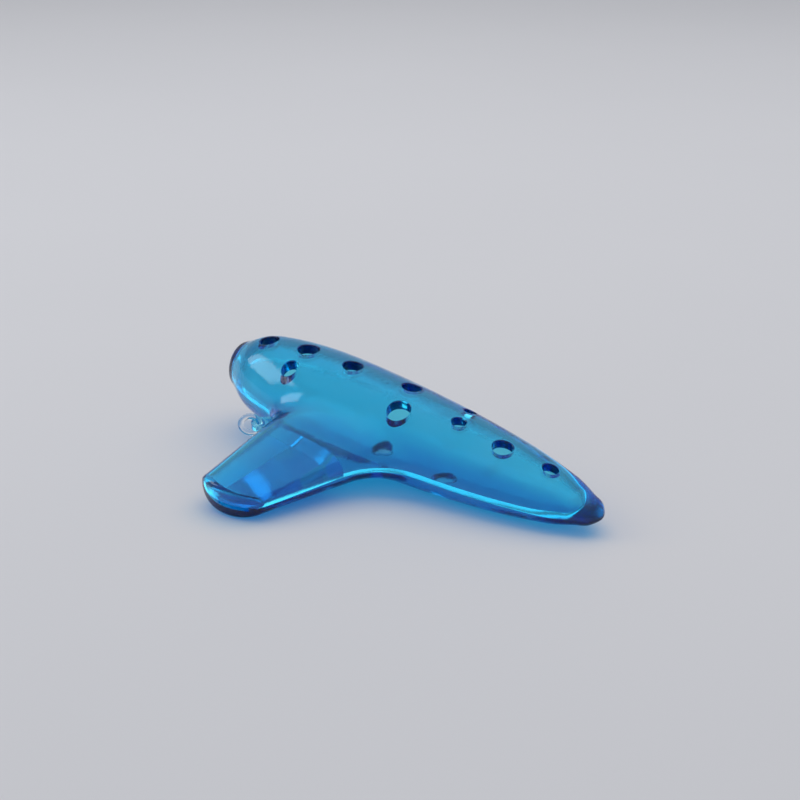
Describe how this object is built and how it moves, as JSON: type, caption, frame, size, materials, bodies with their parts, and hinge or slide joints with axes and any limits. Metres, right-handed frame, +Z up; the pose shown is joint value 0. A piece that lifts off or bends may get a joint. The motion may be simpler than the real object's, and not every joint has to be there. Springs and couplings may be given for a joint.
{
  "type": "ocarina",
  "caption": "Transverse ocarina in clear blue plastic: hollow torpedo vessel with finger holes, a side mouthpiece and a lanyard ring.",
  "frame": {"origin": "centre of the bounding box in X and Y, on the table in Z", "axes": "+X runs along the vessel from its blunt end to its tail, -Y towards the mouthpiece, +Z up from the table; the ocarina leans in its resting pose, tail 5.8 degrees and mouthpiece 9.7 degrees down"},
  "size_m": [0.189, 0.1028, 0.0432],
  "materials": {
    "blue_plastic": "polished, transparent",
    "clear_plastic": "polished, colourless"
  },
  "bodies": {
    "body": {"upper_shell": "blue_plastic", "lower_shell": "blue_plastic", "windway_block": "blue_plastic"},
    "ring": {"lanyard_ring": "clear_plastic"}
  },
  "joints": [
    {"name": "lanyard_ring_swing", "type": "hinge", "parent": "body", "child": "ring", "pos_m": [-0.05474, -0.00101, 0.01633], "axis": [0.0996, -0.1685, 0.9807], "range_deg": [-50, 50]}
  ]
}
